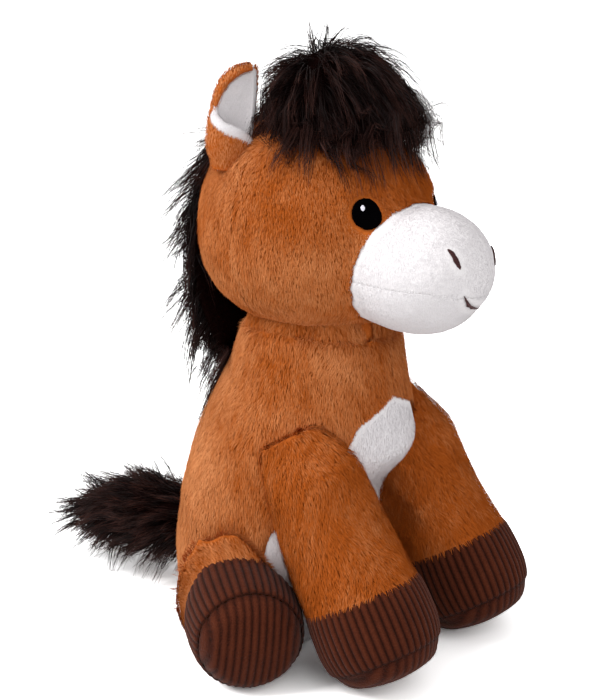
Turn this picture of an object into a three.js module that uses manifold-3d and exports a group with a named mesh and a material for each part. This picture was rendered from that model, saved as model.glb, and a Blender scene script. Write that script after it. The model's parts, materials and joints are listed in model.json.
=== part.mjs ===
// A seated plush pony, modelled as it is sewn: fabric shells over fibre stuffing, corduroy hooves,
// long-pile forelock, mane and tail, and an embroidered face.
// Millimetres, +Z up. The pony sits on the floor at Z = 0 and looks along -Y, with its right side at -X.
import * as THREE from 'three';
import { mergeVertices } from 'three/addons/utils/BufferGeometryUtils.js';
import Module from 'manifold-3d';

const wasm = await Module();
wasm.setup();

// Fabrics, thread and clearances
const PLUSH = 3;
const CORDUROY = 2.5;
const THREAD = 1;
const SEWN_GAP = 0.3;
const FLOOR_PRESS = 0.7;

// Torso: a leaning pear with a flat seat
const SEAT_RADIUS = 57;
const BELLY_RADIUS = 53.5;
const WAIST_RADIUS = 52;
const CHEST_RADIUS = 48;
const NECK_RADIUS = 40.5;
const SEAT_Y = 12;
const WAIST_Y = 6;
const CHEST_Y = -5;
const NECK_Y = -11;
const WAIST_HEIGHT = 55;
const CHEST_HEIGHT = 105;
const NECK_HEIGHT = 145;
const NECK_COLLAR = 22;
const NECK_BALL_RADIUS = 20;
const NECK_BALL_SLACK = 1;
const SEAT_SINK = 6;
const TORSO_FULLNESS = 4;

// White belly panel: a bib that widens from a point under the chin
const BIB_TOP = 121;
const BIB_CHEST_WIDTH = 42;
const BIB_CHEST_HEIGHT = 103;
const BIB_BELLY_WIDTH = 84;
const BIB_BELLY_HEIGHT = 45;

// Head, cocked to one side
const HEAD_Y = -6;
const HEAD_WIDTH = 106;
const HEAD_HEIGHT = 93;
const HEAD_SINK = 2;
const HEAD_SEAM_BACK = 7;
const HEAD_ROLL = 10;
const HEAD_YAW = 3;
const HEAD_NOD = 8;
const HEAD_TURN = 25;
const HEAD_FULLNESS = 2.4;

// Muzzle
const MUZZLE_WIDTH = 61;
const MUZZLE_HEIGHT = 56;
const MUZZLE_LENGTH = 33;
const MUZZLE_BURY = 35;
const MUZZLE_RISE = 37;
const MUZZLE_DROOP = 4;
const MUZZLE_FULLNESS = 2.3;
const CHIN_SEAM_DROP = 8;

// Embroidered face
const EYE_DIAMETER = 13.5;
const EYE_RISE = 58.5;
const EYE_TURN = 30.5;
const GLINT_WIDTH = 2.8;
const GLINT_HEIGHT = 3.4;
const GLINT_RISE = 2.6;
const NOSTRIL_WIDTH = 2.4;
const NOSTRIL_LENGTH = 8;
const NOSTRIL_SLANT = -20;
const NOSTRIL_APART = 28;
const NOSTRIL_RISE = 12;
const SMILE_RIGHT = 9;
const SMILE_LEFT = 7.5;
const SMILE_RIGHT_DROP = 1.3;
const SMILE_LEFT_DROP = 8.4;
const SMILE_BELLY = 5;
const SMILE_BELLY_DROP = 12;
const SMILE_STROKE = 1.4;

// Ears
const EAR_LENGTH = 42;
const EAR_WIDTH = 27;
const EAR_ROOT_WIDTH = 19;
const EAR_THICKNESS = 7;
const EAR_LINING_THICKNESS = 5;
const EAR_RIM = 3;
const EAR_SINK = 10;
const EAR_CUP_DEPTH = 5.3;
const EAR_RISE = 73;
const EAR_TURN = 113;
const EAR_LEAN = -2;
const EAR_FACING = 20;
const EAR_FOLD_BACK = 15;
const EAR_FOLD_FORWARD = 20;
const EAR_PLAY = 1;

// Long pile: forelock, mane and tail
const FORELOCK_WIDTH = 82;
const FORELOCK_DEPTH = 72;
const FORELOCK_HEIGHT = 38;
const FORELOCK_SINK = 46;
const FORELOCK_AHEAD = 10;
const MANE_WIDTH = 48;
const MANE_THICKNESS = 17;
const MANE_START = 20;
const MANE_HANG = 34;
const TAIL_WIDTH = 44;
const TAIL_LENGTH = 81;
const TAIL_BURY = 14;
const TAIL_HEIGHT = 31;
const TAIL_DROOP = 18;
const TAIL_LIFT = 40;

// Front legs
const FRONT_LEG_RADIUS = 23.5;
const FRONT_HOOF_RADIUS = 28.3;
const FRONT_SHOULDER_HEIGHT = 107;
const FRONT_SHOULDER_TURN = 70;
const FRONT_SHOULDER_BURY = 9;
const FRONT_HOOVES_APART = 74;
const FRONT_STRIDE = 51;
const FRONT_HOOF_HEIGHT = 38;
const FRONT_LIFT = 40;

// Hind legs
const HIND_LEG_RADIUS = 27;
const HIND_HOOF_RADIUS = 26;
const HIND_HIP_HEIGHT = 57;
const HIND_HIP_TURN = 83;
const HIND_REACH = 39;
const HIND_LENGTH = 92;
const HIND_SPLAY = 44;
const HIND_TOE_DOWN = 5;
const HIND_HOOF_HEIGHT = 36;
const HIND_SWING = 25;

const SOLE_DEPTH = 6;
const LEG_FULLNESS = 6;

// How finely the shapes are meshed, and how far a cutting block or a sweep step goes
const INNER_MESH = { sides: 14, rings: 9 };
const SWEEP_STEP = 8;
const OUTLINE_STEPS = 7;
const FAR = 600;

const RIGHT = -1;
const LEFT = 1;
const AXIS_X = new THREE.Vector3(1, 0, 0);
const AXIS_Y = new THREE.Vector3(0, 1, 0);
const AXIS_Z = new THREE.Vector3(0, 0, 1);
const FORWARD = new THREE.Vector3(0, -1, 0);

const at = (x, y, z) => new THREE.Vector3(x, y, z);
const steady = (size) => () => size;
const radians = THREE.MathUtils.degToRad;

// A smooth run of a size along a piece, through pairs of a share of its length and a size
function profile(...pairs) {
  const shares = pairs.map((pair) => pair[0]);
  const sizes = pairs.map((pair) => pair[1]);
  const curve = new THREE.CubicInterpolant(shares, sizes, 1, new Float32Array(1));
  return (share) => curve.evaluate(share)[0];
}

// A closed geometry as a solid that can be joined and cut
function solid(geometry) {
  geometry.deleteAttribute('normal');
  geometry.deleteAttribute('uv');
  const merged = mergeVertices(geometry);
  const vertProperties = new Float32Array(merged.attributes.position.array);
  const triVerts = new Uint32Array(merged.index.array);
  return new wasm.Manifold(new wasm.Mesh({ numProp: 3, vertProperties, triVerts }));
}

// A solid's surface as a geometry
function surface(piece) {
  const mesh = piece.getMesh();
  const geometry = new THREE.BufferGeometry();
  geometry.setAttribute('position', new THREE.BufferAttribute(mesh.vertProperties.slice(), 3));
  geometry.setIndex(new THREE.BufferAttribute(mesh.triVerts.slice(), 1));
  return geometry;
}

// The point of a stuffed shape at a share of its spine and a turn from its facing side
function surfacePoint(shape, share, turn, inset = 0) {
  const { spine, facing, width, depth, fullness, cup = 0 } = shape;
  const length = spine.getLength();
  const distance = inset + share * (length - 2 * inset);
  const along = THREE.MathUtils.clamp(distance / length, 0, 1);
  const tangent = spine.getTangentAt(along);
  const centre = spine.getPointAt(along).addScaledVector(tangent, distance - along * length);
  const across = facing.clone().cross(tangent).normalize();
  const outward = tangent.clone().cross(across);
  const swell = (1 - Math.abs(1 - 2 * share) ** fullness) ** (1 / fullness);
  const aside = Math.sin(turn) * (width(share) - inset) * swell;
  const ahead = Math.cos(turn) * (depth(share) - inset) * swell + cup * aside ** 2;
  return centre.addScaledVector(across, aside).addScaledVector(outward, ahead);
}

// A stuffed shape: rounded sections along a spine, drawn in by an inset on every side
function stuffed(shape, inset = 0) {
  const { sides, rings } = inset > 0 ? INNER_MESH : shape;
  const geometry = new THREE.SphereGeometry(1, sides, rings);
  const points = geometry.attributes.position;
  for (let i = 0; i < points.count; i++) {
    const share = (1 - points.getY(i)) / 2;
    const turn = Math.atan2(points.getX(i), points.getZ(i));
    points.setXYZ(i, ...surfacePoint(shape, share, turn, inset));
  }
  return solid(geometry);
}

// A block that fills everything past a plane
function pastPlane(point, normal) {
  const geometry = new THREE.BoxGeometry(FAR, FAR, FAR);
  const turn = new THREE.Quaternion().setFromUnitVectors(AXIS_Z, normal);
  geometry.translate(0, 0, FAR / 2).applyQuaternion(turn).translate(...point);
  return solid(geometry);
}

const above = (piece, height) => piece.intersect(pastPlane(at(0, 0, height), AXIS_Z));

// The two sides of a sewn cut through a shell
function seam(shell, point, normal) {
  const half = normal.clone().multiplyScalar(SEWN_GAP / 2);
  return {
    past: shell.intersect(pastPlane(point.clone().add(half), normal)),
    before: shell.intersect(pastPlane(point.clone().sub(half), normal.clone().negate())),
  };
}

// A solid turned about a pivot
function turned(piece, pivot, turn) {
  const geometry = surface(piece);
  geometry.translate(...pivot.clone().negate()).applyQuaternion(turn).translate(...pivot);
  return solid(geometry);
}

// All the room that a solid passes through as it turns about an axis between two angles
function swept(piece, pivot, axis, from, to) {
  const steps = Math.ceil((to - from) / SWEEP_STEP);
  let room = piece;
  for (let step = 0; step <= steps; step++) {
    const angle = radians(from + ((to - from) * step) / steps);
    room = room.add(turned(piece, pivot, new THREE.Quaternion().setFromAxisAngle(axis, angle)));
  }
  return room;
}

// A flat outline in X and Z, pushed forward along -Y from a place
function pushedForward(outline, place, depth, slant = 0) {
  const options = { depth, bevelEnabled: false, curveSegments: OUTLINE_STEPS };
  const geometry = new THREE.ExtrudeGeometry(outline, options);
  geometry.rotateZ(slant).rotateX(Math.PI / 2).translate(...place);
  return solid(geometry);
}

// A group that carries the pieces of one body, placed at the point it turns about
function body(parent, pivot) {
  const group = new THREE.Group();
  group.userData.pivot = pivot;
  group.position.copy(pivot).sub(parent.userData.pivot);
  parent.add(group);
  return group;
}

function sew(group, name, piece, material) {
  const geometry = surface(piece).translate(...group.userData.pivot.clone().negate());
  const mesh = new THREE.Mesh(geometry, material);
  mesh.name = name;
  group.add(mesh);
}

// Materials
const cloth = (color, roughness) => new THREE.MeshStandardMaterial({ color, roughness, metalness: 0 });
const brownPlush = () => cloth('#a85a26', 0.95);
const whitePlush = () => cloth('#f0ecec', 0.95);
const darkPile = () => cloth('#2a1512', 0.85);
const corduroy = () => cloth('#4a2418', 0.9);
const fibre = () => cloth('#f4f2ea', 1);
const blackThread = () => cloth('#050405', 0.25);
const paleThread = () => cloth('#ece8f2', 0.4);
const brownThread = () => cloth('#3a2020', 0.6);

// Torso shape, and the share of its spine at a height
const TORSO = {
  spine: new THREE.CatmullRomCurve3([
    at(0, SEAT_Y, -SEAT_SINK),
    at(0, WAIST_Y, WAIST_HEIGHT),
    at(0, CHEST_Y, CHEST_HEIGHT),
    at(0, NECK_Y, NECK_HEIGHT + NECK_COLLAR),
  ]),
  facing: FORWARD,
  width: profile(
    [0, SEAT_RADIUS],
    [0.3, BELLY_RADIUS],
    [0.48, WAIST_RADIUS],
    [0.62, CHEST_RADIUS],
    [0.78, NECK_RADIUS],
    [1, NECK_RADIUS],
  ),
  fullness: TORSO_FULLNESS,
  sides: 22,
  rings: 12,
};
TORSO.depth = TORSO.width;
const torsoShare = (height) => (height + SEAT_SINK) / (NECK_HEIGHT + NECK_COLLAR + SEAT_SINK);
const torsoRoom = stuffed(TORSO, -SEWN_GAP);

// Head shape, upright, with its neck ball; the cocked head turns about its middle
const HEAD_BOTTOM = NECK_HEIGHT - HEAD_SINK;
const CROWN = HEAD_BOTTOM + HEAD_HEIGHT;
const NECK = at(0, HEAD_Y, NECK_HEIGHT);
const HEAD_MIDDLE = at(0, HEAD_Y, (HEAD_BOTTOM + CROWN) / 2);
const HEAD_TILT = new THREE.Euler(0, radians(HEAD_ROLL), -radians(HEAD_YAW), 'ZYX');
const HEAD = {
  spine: new THREE.LineCurve3(at(0, HEAD_Y, HEAD_BOTTOM), at(0, HEAD_Y, CROWN)),
  facing: FORWARD,
  width: steady(HEAD_WIDTH / 2),
  depth: steady(HEAD_WIDTH / 2),
  fullness: HEAD_FULLNESS,
  sides: 22,
  rings: 12,
};
const NECK_BALL = {
  spine: new THREE.LineCurve3(
    at(0, HEAD_Y, NECK_HEIGHT - NECK_BALL_RADIUS),
    at(0, HEAD_Y, NECK_HEIGHT + NECK_BALL_RADIUS),
  ),
  facing: FORWARD,
  width: steady(NECK_BALL_RADIUS),
  depth: steady(NECK_BALL_RADIUS),
  fullness: 2,
  sides: 14,
  rings: 9,
};
const headRoom = stuffed(HEAD, -SEWN_GAP);
const neckRoom = stuffed(NECK_BALL, -NECK_BALL_SLACK);
const TILT = new THREE.Quaternion().setFromEuler(HEAD_TILT);
const cocked = (piece) => turned(piece, HEAD_MIDDLE, TILT);
const uncocked = (piece) => turned(piece, HEAD_MIDDLE, TILT.clone().invert());

// Muzzle shape
const HEAD_FRONT = HEAD_Y - HEAD_WIDTH / 2;
const MUZZLE_BACK = at(0, HEAD_FRONT + MUZZLE_BURY, HEAD_BOTTOM + MUZZLE_RISE);
const MUZZLE_TIP = at(0, HEAD_FRONT - MUZZLE_LENGTH, HEAD_BOTTOM + MUZZLE_RISE - MUZZLE_DROOP);
const MUZZLE_MIDDLE = MUZZLE_BACK.clone().lerp(MUZZLE_TIP, 0.5);
const MUZZLE = {
  spine: new THREE.LineCurve3(MUZZLE_BACK, MUZZLE_TIP),
  facing: AXIS_Z,
  width: steady(MUZZLE_WIDTH / 2),
  depth: steady(MUZZLE_HEIGHT / 2),
  fullness: MUZZLE_FULLNESS,
  sides: 18,
  rings: 10,
};

// The belly panel's outline, grown by a margin, through the front half of the torso
function bib(margin) {
  const chest = BIB_CHEST_WIDTH / 2 + margin;
  const belly = BIB_BELLY_WIDTH / 2 + margin;
  const top = BIB_TOP + margin;
  const flare = (BIB_BELLY_HEIGHT + BIB_CHEST_HEIGHT) / 2;
  const outline = new THREE.Shape();
  outline.moveTo(-belly, -FAR);
  outline.lineTo(-belly, BIB_BELLY_HEIGHT);
  outline.quadraticCurveTo(-belly, flare, -chest, BIB_CHEST_HEIGHT);
  outline.quadraticCurveTo(-chest / 2, top, 0, top);
  outline.quadraticCurveTo(chest / 2, top, chest, BIB_CHEST_HEIGHT);
  outline.quadraticCurveTo(belly, flare, belly, BIB_BELLY_HEIGHT);
  outline.lineTo(belly, -FAR);
  return pushedForward(outline, at(0, SEAT_Y + margin, 0), FAR);
}

function addTorso(torso) {
  const muzzleSwing = swept(stuffed(MUZZLE, -SEWN_GAP), NECK, AXIS_Z, -HEAD_TURN, HEAD_TURN);
  const headSwing = cocked(swept(headRoom.add(muzzleSwing), NECK, AXIS_X, -HEAD_NOD, HEAD_NOD));
  const skin = above(stuffed(TORSO), 0).subtract(headSwing);
  const shell = skin.subtract(above(stuffed(TORSO, PLUSH), PLUSH));
  const sides = seam(shell.subtract(bib(SEWN_GAP)), at(0, 0, 0), AXIS_X);
  const core = PLUSH + SEWN_GAP;
  const stuffing = above(stuffed(TORSO, core), core).subtract(headSwing).subtract(cocked(neckRoom));
  sew(torso, 'torso_side_right', sides.before, brownPlush());
  sew(torso, 'torso_side_left', sides.past, brownPlush());
  sew(torso, 'belly_panel', shell.intersect(bib(0)), whitePlush());
  sew(torso, 'torso_stuffing', stuffing, fibre());
}

function addHead(head) {
  const muzzleInner = stuffed(MUZZLE, PLUSH);
  const shell = stuffed(HEAD).subtract(stuffed(HEAD, PLUSH)).subtract(muzzleInner).subtract(neckRoom);
  const panels = seam(shell, at(0, HEAD_Y + HEAD_SEAM_BACK, 0), AXIS_Y);
  const muzzleShell = stuffed(MUZZLE).subtract(muzzleInner).subtract(headRoom);
  const muzzle = seam(muzzleShell, at(0, 0, MUZZLE_BACK.z - CHIN_SEAM_DROP), AXIS_Z);
  const core = PLUSH + SEWN_GAP;
  const stuffing = stuffed(HEAD, core).add(stuffed(MUZZLE, core)).subtract(neckRoom);
  sew(head, 'face_panel', panels.before, brownPlush());
  sew(head, 'head_back_panel', panels.past, brownPlush());
  sew(head, 'head_stuffing', stuffing, fibre());
  sew(head, 'muzzle_upper', muzzle.past, whitePlush());
  sew(head, 'muzzle_chin', muzzle.before, whitePlush());
}

// Embroidery: an outline sewn onto a stuffed shape, between two heights above its surface
function embroidered(shape, prism, low) {
  return prism.intersect(stuffed(shape, -low - THREAD)).subtract(stuffed(shape, -low));
}

function oval(width, height) {
  const outline = new THREE.Shape();
  outline.absellipse(0, 0, width / 2, height / 2, 0, 2 * Math.PI);
  return outline;
}

// An outline pushed out through the head, level, along a turn from its front
function pushedFromHead(outline, rise, turn) {
  const prism = pushedForward(outline, at(0, HEAD_Y, HEAD_BOTTOM + rise), HEAD_WIDTH);
  return turned(prism, HEAD_MIDDLE, new THREE.Quaternion().setFromAxisAngle(AXIS_Z, turn));
}

function addEye(head, name, side) {
  const turn = side * radians(EYE_TURN);
  const disc = pushedFromHead(oval(EYE_DIAMETER, EYE_DIAMETER), EYE_RISE, turn);
  const spot = pushedFromHead(oval(GLINT_WIDTH, GLINT_HEIGHT), EYE_RISE + GLINT_RISE, turn);
  const glintSeat = SEWN_GAP + THREAD + SEWN_GAP;
  const eye = embroidered(HEAD, disc, SEWN_GAP).subtract(stuffed(MUZZLE, -SEWN_GAP));
  sew(head, `eye_${name}`, eye, blackThread());
  sew(head, `eye_glint_${name}`, embroidered(HEAD, spot, glintSeat), paleThread());
}

function addNostril(head, name, side) {
  const place = at((side * NOSTRIL_APART) / 2, MUZZLE_MIDDLE.y, MUZZLE_TIP.z + NOSTRIL_RISE);
  const slant = side * radians(NOSTRIL_SLANT);
  const prism = pushedForward(oval(NOSTRIL_WIDTH, NOSTRIL_LENGTH), place, FAR, slant);
  sew(head, `nostril_${name}`, embroidered(MUZZLE, prism, SEWN_GAP), brownThread());
}

// The smile: a crescent that rises further on the right cheek
function addSmile(head) {
  const outline = new THREE.Shape();
  outline.moveTo(-SMILE_RIGHT, -SMILE_RIGHT_DROP);
  outline.quadraticCurveTo(-SMILE_BELLY, -SMILE_BELLY_DROP, SMILE_LEFT, -SMILE_LEFT_DROP);
  const upperBelly = at(SMILE_STROKE - SMILE_BELLY, 2 * SMILE_STROKE - SMILE_BELLY_DROP, 0);
  outline.quadraticCurveTo(upperBelly.x, upperBelly.y, -SMILE_RIGHT, -SMILE_RIGHT_DROP);
  const prism = pushedForward(outline, at(0, MUZZLE_MIDDLE.y, MUZZLE_TIP.z), FAR);
  sew(head, 'smile', embroidered(MUZZLE, prism, SEWN_GAP), brownThread());
}

// Ears: a cupped leaf of brown plush, with a smaller white leaf sewn into its hollow
function earShapes(side) {
  const root = surfacePoint(HEAD, EAR_RISE / HEAD_HEIGHT, -side * radians(EAR_TURN));
  const lean = radians(EAR_LEAN);
  const rise = at(side * Math.sin(lean), -Math.sin(lean), Math.cos(lean)).normalize();
  const facing = at(side * Math.sin(radians(EAR_FACING)), -Math.cos(radians(EAR_FACING)), 0);
  const foot = root.clone().addScaledVector(rise, -EAR_SINK);
  const tip = root.clone().addScaledVector(rise, EAR_LENGTH);
  const leaf = profile(
    [0, EAR_ROOT_WIDTH / 2],
    [0.3, EAR_WIDTH * 0.42],
    [0.55, EAR_WIDTH / 2],
    [1, EAR_WIDTH * 0.4],
  );
  const back = {
    spine: new THREE.LineCurve3(foot, tip),
    facing,
    width: leaf,
    depth: steady(EAR_THICKNESS / 2),
    fullness: 2,
    cup: EAR_CUP_DEPTH / (EAR_WIDTH / 2) ** 2,
    sides: 14,
    rings: 10,
  };
  const inFront = facing.clone().multiplyScalar((EAR_THICKNESS + EAR_LINING_THICKNESS) / 4);
  const liningTip = tip.clone().addScaledVector(rise, -EAR_RIM).add(inFront);
  const lining = {
    ...back,
    spine: new THREE.LineCurve3(foot.clone().add(inFront), liningTip),
    width: (share) => leaf(share) - EAR_RIM,
    depth: steady(EAR_LINING_THICKNESS / 2),
  };
  return { back, lining, hinge: root, axis: rise.clone().cross(facing).normalize() };
}

function addEar(head, name, { back, lining, hinge, axis }) {
  const headSweep = swept(headRoom, hinge, axis, -EAR_FOLD_FORWARD, EAR_FOLD_BACK);
  const liningPiece = stuffed(lining).subtract(stuffed(back, -SEWN_GAP)).subtract(headSweep);
  const ear = body(head, hinge);
  sew(ear, `ear_back_${name}`, stuffed(back).subtract(headSweep), brownPlush());
  sew(ear, `ear_lining_${name}`, liningPiece, whitePlush());
}

// The room that an ear needs as it folds
function earRoom({ back, lining, hinge, axis }) {
  const ear = stuffed(back, -EAR_PLAY).add(stuffed(lining, -EAR_PLAY));
  return swept(ear, hinge, axis, -EAR_FOLD_BACK, EAR_FOLD_FORWARD);
}

// Long pile on the head: the forelock's mop on the crown, and the mane down the back of the neck
const FORELOCK = {
  spine: new THREE.LineCurve3(
    at(0, HEAD_Y - FORELOCK_AHEAD, CROWN - FORELOCK_SINK),
    at(0, HEAD_Y - FORELOCK_AHEAD, CROWN + FORELOCK_HEIGHT),
  ),
  facing: FORWARD,
  width: steady(FORELOCK_WIDTH / 2),
  depth: steady(FORELOCK_DEPTH / 2),
  fullness: 2,
  sides: 18,
  rings: 10,
};
const NAPE = HEAD_Y + HEAD_WIDTH / 2;
const MANE = {
  spine: new THREE.CatmullRomCurve3([
    at(0, HEAD_Y + MANE_START, CROWN),
    at(0, NAPE - HEAD_WIDTH * 0.03, CROWN - HEAD_HEIGHT * 0.2),
    at(0, NAPE + HEAD_WIDTH * 0.02, HEAD_MIDDLE.z),
    at(0, NAPE - HEAD_WIDTH * 0.03, HEAD_BOTTOM - MANE_HANG),
  ]),
  facing: at(0, 1, 1).normalize(),
  width: profile([0, MANE_WIDTH * 0.4], [0.5, MANE_WIDTH / 2], [1, MANE_WIDTH * 0.35]),
  depth: steady(MANE_THICKNESS / 2),
  fullness: 2.5,
  sides: 14,
  rings: 14,
};

function addForelockAndMane(head, ears) {
  const forelock = stuffed(FORELOCK).subtract(headRoom).subtract(ears);
  const torsoNod = swept(uncocked(torsoRoom), NECK, AXIS_X, -HEAD_NOD, HEAD_NOD);
  const torsoSwing = swept(torsoNod, NECK, AXIS_Z, -HEAD_TURN, HEAD_TURN);
  const mane = stuffed(MANE).subtract(headRoom.add(torsoSwing).add(stuffed(FORELOCK, -SEWN_GAP)).add(ears));
  sew(head, 'forelock', forelock, darkPile());
  sew(head, 'mane', mane, darkPile());
}

function addTail(torso) {
  const root = surfacePoint(TORSO, torsoShare(TAIL_HEIGHT), Math.PI);
  const hinge = surfacePoint(TORSO, torsoShare(TAIL_HEIGHT + TAIL_WIDTH / 2), Math.PI);
  const girth = profile([0, TAIL_WIDTH * 0.45], [0.4, TAIL_WIDTH / 2], [1, TAIL_WIDTH * 0.3]);
  const shape = {
    spine: new THREE.QuadraticBezierCurve3(
      root.clone().add(at(0, -TAIL_BURY, 0)),
      root.clone().add(at(0, TAIL_LENGTH / 2, 0)),
      root.clone().add(at(0, TAIL_LENGTH, -TAIL_DROOP)),
    ),
    facing: AXIS_Z,
    width: girth,
    depth: girth,
    fullness: 2,
    sides: 16,
    rings: 12,
  };
  const room = swept(torsoRoom, hinge, AXIS_X, -TAIL_LIFT, 0);
  sew(body(torso, hinge), 'tail', above(stuffed(shape), 0).subtract(room), darkPile());
}

// A leg set down until its hoof presses into the floor
function grounded(shape) {
  const lift = at(0, 0, -FLOOR_PRESS - stuffed(shape).boundingBox().min[2]);
  const { v1: root, v2: end } = shape.spine;
  return { ...shape, spine: new THREE.LineCurve3(root.clone().add(lift), end.clone().add(lift)) };
}

function legShape(root, end, facing, legRadius, hoofRadius) {
  const girth = profile([0, legRadius], [0.5, legRadius], [0.8, hoofRadius], [1, hoofRadius]);
  return grounded({
    spine: new THREE.LineCurve3(root, end),
    facing,
    width: girth,
    depth: girth,
    fullness: LEG_FULLNESS,
    sides: 16,
    rings: 12,
  });
}

// A leg's sleeve, hoof band, sole and stuffing, clear of the torso as the leg lifts
function addLeg(torso, name, side, shape, hoofHeight, hinge, room) {
  const { v1: root, v2: end } = shape.spine;
  const way = end.clone().sub(root).normalize();
  const cuff = end.clone().addScaledVector(way, -hoofHeight);
  const skin = above(stuffed(shape), 0).subtract(room);
  const sleeve = seam(skin.subtract(stuffed(shape, PLUSH)), cuff, way).before;
  const hoof = seam(skin.subtract(stuffed(shape, CORDUROY)), cuff, way).past;
  const { before: band, past: sole } = seam(hoof, end.clone().addScaledVector(way, -SOLE_DEPTH), way);
  const leg = body(torso, hinge);
  sew(leg, `${name}_sleeve_${side}`, sleeve, brownPlush());
  sew(leg, `${name}_hoof_band_${side}`, band, corduroy());
  sew(leg, `${name}_sole_${side}`, sole, corduroy());
  sew(leg, `${name}_stuffing_${side}`, stuffed(shape, PLUSH + SEWN_GAP).subtract(room), fibre());
}

function addFrontLeg(torso, name, side) {
  const share = torsoShare(FRONT_SHOULDER_HEIGHT);
  const turn = -side * radians(FRONT_SHOULDER_TURN);
  const hinge = surfacePoint(TORSO, share, turn);
  const shoulder = surfacePoint(TORSO, share, turn, FRONT_SHOULDER_BURY);
  const hoof = at((side * FRONT_HOOVES_APART) / 2, hinge.y - FRONT_STRIDE, 0);
  const shape = legShape(shoulder, hoof, FORWARD, FRONT_LEG_RADIUS, FRONT_HOOF_RADIUS);
  const room = swept(torsoRoom, hinge, AXIS_X, 0, FRONT_LIFT);
  addLeg(torso, 'front', name, shape, FRONT_HOOF_HEIGHT, hinge, room);
}

function addHindLeg(torso, name, side) {
  const splay = radians(HIND_SPLAY);
  const toe = radians(HIND_TOE_DOWN);
  const outward = at(side * Math.sin(splay), -Math.cos(splay), 0);
  const way = outward.clone().multiplyScalar(Math.cos(toe)).addScaledVector(AXIS_Z, -Math.sin(toe));
  const hinge = surfacePoint(TORSO, torsoShare(HIND_HIP_HEIGHT), -side * radians(HIND_HIP_TURN));
  const sole = hinge.clone().addScaledVector(outward, HIND_REACH);
  const hip = sole.clone().addScaledVector(way, -HIND_LENGTH);
  const shape = legShape(hip, sole, AXIS_Z, HIND_LEG_RADIUS, HIND_HOOF_RADIUS);
  const swing = AXIS_Z.clone().multiplyScalar(side);
  const room = swept(torsoRoom, hinge, swing, -HIND_SWING, 0);
  addLeg(torso, 'hind', name, shape, HIND_HOOF_HEIGHT, hinge, room);
}

// The pony: the head stands on the neck, and the neck and limbs on the torso
const pony = new THREE.Group();
pony.userData.pivot = at(0, 0, 0);
const torso = body(pony, at(0, 0, 0));
addTorso(torso);

const neck = body(torso, HEAD_MIDDLE);
neck.rotation.copy(HEAD_TILT);
sew(neck, 'neck_stuffing', stuffed(NECK_BALL), fibre());

const head = body(neck, HEAD_MIDDLE);
addHead(head);
addSmile(head);
const ears = { right: earShapes(RIGHT), left: earShapes(LEFT) };
addForelockAndMane(head, earRoom(ears.right).add(earRoom(ears.left)));

for (const [name, side] of [['right', RIGHT], ['left', LEFT]]) {
  addEye(head, name, side);
  addNostril(head, name, side);
  addEar(head, name, ears[name]);
  addFrontLeg(torso, name, side);
  addHindLeg(torso, name, side);
}
addTail(torso);

export default pony;
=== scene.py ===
"""A seated plush pony: short brown and white pile, corduroy hooves, long dark hair, an embroidered face.

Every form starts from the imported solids, is remeshed and blown up as a stuffed skin, and then gets its
pile, hair, ribs, seams and stitches. Metres, +Z up; the pony looks along -Y.
"""

import json
import math

import bmesh
import bpy
import numpy as np
from mathutils import Matrix, Vector
from mathutils.bvhtree import BVHTree


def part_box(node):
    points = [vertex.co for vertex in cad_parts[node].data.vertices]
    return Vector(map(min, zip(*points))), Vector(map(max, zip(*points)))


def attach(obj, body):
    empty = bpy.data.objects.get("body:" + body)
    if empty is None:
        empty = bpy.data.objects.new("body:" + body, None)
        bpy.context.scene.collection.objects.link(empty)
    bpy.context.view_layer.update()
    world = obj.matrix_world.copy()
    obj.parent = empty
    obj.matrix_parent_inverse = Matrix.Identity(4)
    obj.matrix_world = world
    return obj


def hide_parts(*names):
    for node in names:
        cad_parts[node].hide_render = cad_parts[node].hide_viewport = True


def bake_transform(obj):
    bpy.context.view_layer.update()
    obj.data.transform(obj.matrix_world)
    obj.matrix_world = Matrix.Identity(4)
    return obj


MM = 0.001
SIDES = ("right", "left")
DOWN = np.array((0, 0, -1.0))

# The camera, worked out from the photograph
PHOTO_HEIGHT = 700
FOCAL_PIXELS = 2500
CAMERA_AIM = Vector((0, 0, 0.130))
CAMERA_AZIMUTH = -55
CAMERA_ELEVATION = 18.5
CAMERA_DISTANCE = 1.1
SENSOR = 36

# Light from all around, and two lamps: where each stands, its size and its power
AMBIENT = 0.62
KEY_LAMP = ((-0.93, 0.72, 1.15), 0.9, 22)
FILL_LAMP = ((-0.6, -1.25, 0.85), 1.3, 8)

# Skins: how far the cloth lies under the pile's outer face, and how it is blown up
SKIN_VOXEL = 3 * MM
SKIN_DEPTH = 2.6 * MM
SKIN_SWELL = 1.5 * MM
MUZZLE_DEPTH = 1.1 * MM
PRESSURE = 4
SWELL_FRAMES = 20

# Short pile
PILE_WIDTH = 0.32 * MM
PILE_DENSITY = 4.2e6
PILE_LEAN = 70
PILE_SWIRL = 0.25
PILE_STRAY = 0.16
PILE_BORDER = 3 * MM
PILE_TONE = 0.42
SWIRL_SIZE = 11 * MM
TUFT_SIZE = 3 * MM
SHADE_SIZE = 18 * MM
BLADE_RISE = 0.35
BLADE_FALL = 0.2
CREASE_LEAN = 16
# How much darker the pile is painted in a crease, as painted shade
CREASE_SHADE_TONE = 0.12
TORSO_PILE = 4.4 * MM
BELLY_PILE = 2.4 * MM
BELLY_DENSITY = 2.4e6
BELLY_WIDTH = 0.4 * MM
HEAD_PILE = 3.8 * MM
MUZZLE_PILE = 1.4 * MM
MUZZLE_DENSITY = 4e6
MUZZLE_WIDTH = 0.28 * MM
NECK_PILE = 4 * MM
LEG_PILE = 4.8 * MM
CREASE_WIDTH = 2.4 * MM
FLOOR_CLEARANCE = 0.2 * MM

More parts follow.
